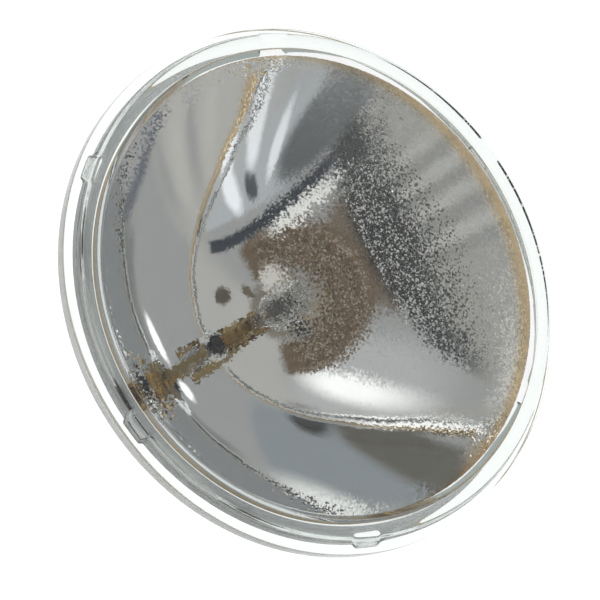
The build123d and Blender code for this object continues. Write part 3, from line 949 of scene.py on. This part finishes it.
def bowl_outside(inside):
    """Rest of the profile: flange, outer paraboloid, neck, heel and exhaust hole."""
    inner_root = math.sqrt(4 * focal_length * (flange_back_z - vertex_z))
    root = inner_root + bowl_wall / math.sin(math.atan(inner_root / (2 * focal_length)))
    outer_apex = vertex_z - bowl_wall
    outer_focal = root**2 / (4 * (flange_back_z - outer_apex))

    def outer_z(r):
        return outer_apex + r**2 / (4 * outer_focal)

    neck_bore = neck_radius - neck_wall
    neck_top_z = outer_z(neck_radius)
    return rounded_profile([
        (*inside[-1], 0, 0),
        (mouth_radius, seam_z, 0.25, 3),
        (rim_radius, seam_z, 0.8, 6),
        (rim_radius, flange_back_z, 0.8, 6),
        (root, flange_back_z, 1.2, 5),
        *[(r, outer_z(r), 0, 0) for r in np.linspace(root, neck_radius + neck_flare, back_rows)[1:]],
        (neck_radius, neck_top_z, 3.0, 8),
        (neck_radius, (neck_top_z + neck_end_z) / 2, 0, 0),
        (neck_radius, neck_end_z, 1.2, 5),
        (neck_bore, neck_end_z, 0.8, 5),
        (neck_bore, heel_back_z, 1.5, 6),
        (exhaust_bore, heel_back_z, 0.3, 3),
        (*inside[0], 0, 0),
    ])[1:-1]


# %% Reflector piece


def make_reflector():
    """Closed bowl: the profile turned about the axis, with slow waves on the mirror and two raised pads."""
    inside = bowl_inside()
    profile = np.concatenate([inside, bowl_outside(inside)])
    points = turned_points(profile, even_angles(bowl_around))
    x, y, z = np.moveaxis(points[:len(inside)], -1, 0)
    wave = ripples(x, y, wave_count, wave_short, wave_long, wave_seed)
    z += wave_depth * wave * np.clip((mouth_radius - inside[:, :1]) / wave_fade, 0, 1)
    for side in (1, -1):
        off = np.hypot(x - side * ferrule_x, y)
        z += np.maximum(pad_z - z, 0) * ease((pad_radius + pad_edge - off) / pad_edge)
    rings = np.arange(len(profile) * bowl_around).reshape(-1, bowl_around)
    faces = [ring_faces(b, a) for a, b in zip(rings, np.roll(rings, -1, 0))]
    film_rings = heel_rows + film_rows - 2
    kinds = [np.full(bowl_around, 1 if k < film_rings else 0) for k in range(len(faces))]
    bowl = make_piece("reflector_bowl", points, faces, [bowl_glass, mirror], kinds)
    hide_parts("reflector")
    return bowl


bowl = make_reflector()

# %% [markdown]
# ## The burner's quartz
#
# The burner is a tube of quartz, closed by a dome with the nub where it was pumped out. Its lower end
# was pressed flat while hot, which seals the leads in. One grid makes the whole outside: each height has
# a superellipse for its section, nearly a rectangle on the pinch and a circle on the bulb.
# A second closed grid, wound the other way, is the gas space inside.

# %% Burner sizes
burner_low, burner_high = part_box("burner_envelope")
bulb_radius = burner_high.x
bulb_wall = 1.1 * MM
bulb_length = 30.0 * MM
bulb_floor = 2.4 * MM
nub_height = 3.0 * MM
nub_radius = 1.2 * MM
nub_flare = 2.1 * nub_radius
bulb_top = burner_high.z - nub_height
bulb_bottom = bulb_top - bulb_length
pinch_bottom = burner_low.z
pinch_half = 2.3 * MM
pinch_round = 0.5 * MM
pinch_power = 9.0
tip_radius = 0.02 * MM
burner_around = 128

# %% Burner surface


def pinch_sections():
    """Heights, half widths along X and Y and superellipse powers, from the pinch's end to the bulb."""
    rows = [
        (pinch_bottom, tip_radius, tip_radius, 2.0),
        (pinch_bottom, bulb_radius * 0.6, pinch_half * 0.5, pinch_power),
    ]
    for a in np.linspace(0, math.pi / 2, 6):
        z = pinch_bottom + pinch_round * (1 - math.cos(a))
        d = pinch_round * (1 - math.sin(a))
        rows.append((z, bulb_radius - d, pinch_half - d, pinch_power))
    swell_z = bulb_bottom - pinch_round
    for z in np.linspace(pinch_bottom + 2 * pinch_round, swell_z, 5):
        rows.append((z, bulb_radius, pinch_half, pinch_power))
    for t in np.linspace(0, 1, 18)[1:]:
        half = pinch_half + ease(t) * (bulb_radius - pinch_half)
        power = 2 + (pinch_power - 2) * (1 - ease(t)) ** 3
        rows.append((swell_z + t * (bulb_radius + pinch_round), bulb_radius, half, power))
    return rows


def bulb_sections():
    """Round sections, as above, of the tube, its dome and the nub that flares out into the dome."""
    dome_z = bulb_top - bulb_radius
    nub_z = burner_high.z - nub_radius
    rows = [(z, bulb_radius) for z in np.linspace(bulb_bottom + bulb_radius, dome_z, 8)[1:]]
    for a in np.linspace(0, math.acos(nub_flare / bulb_radius), 16)[1:]:
        rows.append((dome_z + bulb_radius * math.sin(a), bulb_radius * math.cos(a)))
    base_z, base_r = rows[-1]
    for t in np.linspace(0, 1, 9)[1:]:
        rows.append((base_z + t * (nub_z - base_z), nub_radius + (base_r - nub_radius) * (1 - t) ** 2.5))
    for a in np.linspace(0, math.pi / 2, 7)[1:]:
        rows.append((nub_z + nub_radius * math.sin(a), max(nub_radius * math.cos(a), tip_radius)))
    return [(z, r, r, 2.0) for z, r in rows]


def superellipse(sections, angles):
    """Points x = a |cos|^(2/n) and y = b |sin|^(2/n), with the signs of cos and sin, at each section."""
    z, a, b, n = np.array(sections).T[..., None]
    c, s = np.cos(angles), np.sin(angles)
    x = a * np.sign(c) * np.abs(c) ** (2 / n)
    y = b * np.sign(s) * np.abs(s) ** (2 / n)
    return np.stack([x, y, np.broadcast_to(z, x.shape)], -1)


def gas_space(angles):
    """Points of a capsule with round ends, from the top down, so that its surface faces inwards."""
    radius = bulb_radius - bulb_wall
    quarter = np.linspace(0.003, 1, 14) * math.pi / 2
    out, up = radius * np.sin(quarter), radius * np.cos(quarter)
    high = np.column_stack([out, bulb_top - bulb_wall - radius + up])
    low = np.column_stack([out, bulb_bottom + bulb_floor + radius - up])
    return turned_points(np.concatenate([high, low[::-1]]), angles)


# %% Burner piece


def closed_tube(points, first=0):
    """Faces of a tube of rings, numbered from first, with a face over each end."""
    rings = first + np.arange(points.size // 3).reshape(points.shape[:2])
    return [*tube_faces(rings), rings[:1, ::-1], rings[-1:]]


def make_burner():
    """Quartz body and its gas space."""
    angles = even_angles(burner_around)
    outside = superellipse(pinch_sections() + bulb_sections(), angles)
    inside = gas_space(angles)
    faces = closed_tube(outside) + closed_tube(inside, outside.size // 3)
    burner = make_piece("burner_quartz", np.concatenate([outside, inside]), faces, [quartz])
    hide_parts("burner_envelope")
    return burner


burner = make_burner()

# %% [markdown]
# ## Metals
#
# The metals inside the lamp were cleaned, brazed and heated, so none is one colour. A shared group
# gives what they have in common: fine streaks from drawing and rolling, and slow blotches from heat
# or handling. Each metal mixes its own colours and roughness with them.

# %% Worn metal


def worn_metal_group():
    """Streak: noise stretched along Z. Blotch: soft noise clipped into patches. Both run from 0 to 1."""
    tree, inside, outside = new_group(
        "worn_metal", ("Vector", "Streak scale", "Stretch", "Blotch scale"), ("Streak", "Blotch")
    )
    squeeze = add_node(tree, "CombineXYZ", {"X": 1.0, "Y": 1.0, "Z": inside["Stretch"]})
    lines = vector_node("MULTIPLY", inside["Vector"], squeeze.outputs[0])
    cloud = noise(inside["Vector"], inside["Blotch scale"], 4.0)
    streak = noise(lines, inside["Streak scale"], 3.0, 0.6)
    feed(outside, {"Streak": streak, "Blotch": ramp(cloud, 0.38, 0.66)})
    return tree


worn_metal = worn_metal_group()


def add_wear(shader, place, rough, streak, stretch, blotch, depth):
    """Streaks as a roughness between two values and as fine bumps. Returns the worn metal's outputs."""
    wear = place_group(worn_metal, place, streak, stretch, blotch)
    grain = calc("MULTIPLY", wear["Streak"], rough[1] - rough[0])
    feed(shader, {"Roughness": calc("ADD", grain, rough[0])})
    add_bump(shader, wear["Streak"], depth)
    return wear


def metal(name, bright, stained, *wear):
    """Metal of a bright colour with blotches of a stained one, and wear as listed for add_wear."""
    material, tree, shader = new_material(name, Metallic=1.0)
    blotch = add_wear(shader, object_coords(tree), *wear)["Blotch"]
    feed(shader, {"Base Color": blend(blotch, bright, stained)})
    return material


# %% Metal finishes
holder_gold = metal(
    "holder_straw_gold", (0.66, 0.50, 0.24), (0.28, 0.17, 0.07), (0.16, 0.42), 1400.0, 0.15, 260.0, 0.03 * MM
)
ferrule_dark = metal(
    "ferrule_oxidised", (0.045, 0.05, 0.075), (0.13, 0.11, 0.10), (0.22, 0.45), 1500.0, 0.4, 420.0, 0.03 * MM
)
tungsten = metal(
    "tungsten_wire", (0.42, 0.40, 0.39), (0.20, 0.19, 0.21), (0.25, 0.5), 4000.0, 0.2, 700.0, 0.01 * MM
)
molybdenum = metal(
    "molybdenum", (0.52, 0.51, 0.50), (0.33, 0.30, 0.28), (0.2, 0.45), 3000.0, 0.2, 500.0, 0.01 * MM
)
nickel_wire = metal(
    "nickel_wire", (0.66, 0.63, 0.58), (0.38, 0.34, 0.29), (0.2, 0.42), 2500.0, 0.15, 350.0, 0.02 * MM
)
print("metals:", [m.name for m in (holder_gold, ferrule_dark, tungsten, molybdenum, nickel_wire)])

# %% [markdown]
# ## The filament
#
# The filament is a coiled coil: fine tungsten wire wound on a thin rod, and that winding wound again.
# The big helix runs about the axis. At each point of it the wire circles the helix's own line, and a
# small round section is carried along that path. All of it is three sums of sines and cosines.

# %% Filament
coil_low, coil_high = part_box("filament")
coil_radius = 2.3 * MM
coil_turns = 7.5
coil_half_wire = 0.5 * MM
winding_radius = 0.38 * MM
winding_pitch = 0.32 * MM
filament_radius = 0.11 * MM
filament_sides = 6
points_per_winding = 11
section_lag = 7


def unit(vectors):
    """Vectors of length 1 along the last axis."""
    return vectors / np.linalg.norm(vectors, axis=-1, keepdims=True)


def carry_section(path, radius, sides):
    """Rings of a round section carried along a path: square to it, and to where it led a little before."""
    along = unit(np.gradient(path, axis=0))
    across = unit(np.cross(along, np.roll(along, section_lag, 0) + np.array([1e-6, 0, 0])))
    other = np.cross(along, across)
    turn = even_angles(sides)[:, None]
    return path[:, None] + radius * (np.cos(turn) * across[:, None] + np.sin(turn) * other[:, None])


def make_filament():
    """Wire at the helix's point plus the winding's radius times (cos w outwards, sin w upwards)."""
    rise = coil_high.z - coil_low.z - 2 * coil_half_wire
    pitch = rise / coil_turns
    windings = round(coil_turns * math.hypot(2 * math.pi * coil_radius, pitch) / winding_pitch)
    t = np.linspace(0, 1, windings * points_per_winding)[:, None]
    a = math.pi + 2 * math.pi * coil_turns * t
    w = 2 * math.pi * windings * t
    flat = np.zeros_like(a)
    outward = np.hstack([np.cos(a), np.sin(a), flat])
    slope = flat + pitch / (2 * math.pi * coil_radius)
    upward = np.cross(outward, unit(np.hstack([-np.sin(a), np.cos(a), slope])))
    line = coil_radius * outward + np.hstack([flat, flat, coil_low.z + coil_half_wire + rise * t])
    path = line + winding_radius * (np.cos(w) * outward + np.sin(w) * upward)
    rings = carry_section(path, filament_radius, filament_sides)
    filament = make_piece("filament_coil", rings, closed_tube(rings), [tungsten])
    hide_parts("filament")
    return filament


filament = make_filament()

# %% [markdown]
# ## Blades, ceramic and cement
#
# The blades are plated strip. Pushing them into a socket wears the plating off near the tips, so brass
# shows there through lengthwise scratches. The base is steatite: off-white, dense, with fine dark
# specks and the slight unevenness of a pressed and fired body. The cement is dull and gritty.
# One group makes specks and grit for both, at two scales.

# %% Blade metal
blade_low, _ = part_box("blade_right")
blade_wear_length = 11.0 * MM
blade_limits = (0.42, 0.80)
scratch_edge = 0.12
nickel_bright, nickel_dull = (0.70, 0.68, 0.64), (0.52, 0.49, 0.44)
brass = (0.72, 0.52, 0.24)


def blade_plating():
    """Nickel over brass: the share of brass is the streaks, past a limit that falls towards the tip."""
    material, tree, shader = new_material("blade_plating", Metallic=1.0)
    place = object_coords(tree)
    wear = add_wear(shader, place, (0.12, 0.47), 1800.0, 0.03, 180.0, 0.02 * MM)
    height = add_node(tree, "SeparateXYZ", {0: place}).outputs["Z"]
    limit = ramp(height, blade_low.z, blade_low.z + blade_wear_length, *blade_limits, smooth=False)
    over = calc("SUBTRACT", wear["Streak"], limit)
    nickel = blend(wear["Blotch"], nickel_bright, nickel_dull)
    colour = blend(ramp(over, 0.0, scratch_edge, smooth=False), nickel, brass)
    feed(shader, {"Base Color": colour})
    return material


blade_metal = blade_plating()
print("blade tips at", round(blade_low.z / MM, 2), "mm")

# %% Ceramic and cement
speck_edge = 0.06
speck_dent = 0.5
tone_scale = 90.0
grit_rough = 0.25


def grit_group():
    """Speck: dark dots at the centres of cells of random size. Height: noise with the dots pressed in."""
    tree, inside, outside = new_group(
        "grit", ("Vector", "Speck scale", "Speck size", "Grain scale"), ("Speck", "Height")
    )
    place = inside["Vector"]
    cells = add_node(tree, "TexVoronoi", {"Vector": place, "Scale": inside["Speck scale"]}).outputs
    chance = add_node(tree, "SeparateColor", {0: cells["Color"]}).outputs[0]
    size = calc("MULTIPLY", chance, inside["Speck size"])
    near = calc("DIVIDE", calc("SUBTRACT", size, cells["Distance"]), speck_edge)
    speck = add_node(tree, "Clamp", {"Value": near}).outputs[0]
    grain = noise(place, inside["Grain scale"], 5.0)
    dent = calc("MULTIPLY", speck, speck_dent)
    feed(outside, {"Speck": speck, "Height": calc("SUBTRACT", grain, dent)})
    return tree


grit = grit_group()


def mineral(name, body, shade, speck, rough, coat, speck_scale, speck_size, grain_scale, depth):
    """Fired or set mineral body: two tones by slow noise, dark specks and a gritty bump."""
    material, tree, shader = new_material(name, Coat_Weight=coat, Coat_Roughness=0.25)
    place = object_coords(tree)
    dots = place_group(grit, place, speck_scale, speck_size, grain_scale)
    colour = blend(noise(place, tone_scale, 4.0), body, shade)
    feed(shader, {"Base Color": blend(dots["Speck"], colour, speck)})
    uneven = calc("MULTIPLY", dots["Height"], grit_rough)
    feed(shader, {"Roughness": calc("ADD", uneven, rough)})
    add_bump(shader, dots["Height"], depth)
    return material


steatite = mineral(
    "steatite", (0.86, 0.83, 0.76), (0.74, 0.70, 0.62), (0.36, 0.31, 0.25), rough=0.28, coat=0.25,
    speck_scale=260.0, speck_size=0.22, grain_scale=900.0, depth=0.05 * MM,
)
cement = mineral(
    "base_cement", (0.58, 0.54, 0.48), (0.44, 0.41, 0.36), (0.25, 0.23, 0.20), rough=0.7, coat=0.0,
    speck_scale=700.0, speck_size=0.45, grain_scale=1400.0, depth=0.25 * MM,
)
print("minerals:", steatite.name, cement.name)

# %% [markdown]
# ## Finishes on the CAD pieces
#
# The remaining pieces have their right shape in the CAD model already. Each only swaps its plain
# material for the finish made above.

# %% Dress the CAD pieces
finishes = {
    "holder": holder_gold,
    "ferrule": ferrule_dark,
    "inner_lead": tungsten,
    "foil": molybdenum,
    "outer_pin": molybdenum,
    "exhaust_tube": tube_glass,
    "lead_wire": nickel_wire,
    "blade": blade_metal,
    "ceramic_base": steatite,
    "base_cement": cement,
}
for node, piece in nodes.items():
    for start, finish in finishes.items():
        if node.startswith(start):
            piece.data.materials.clear()
            piece.data.materials.append(finish)
            print(node, "finished in", finish.name)
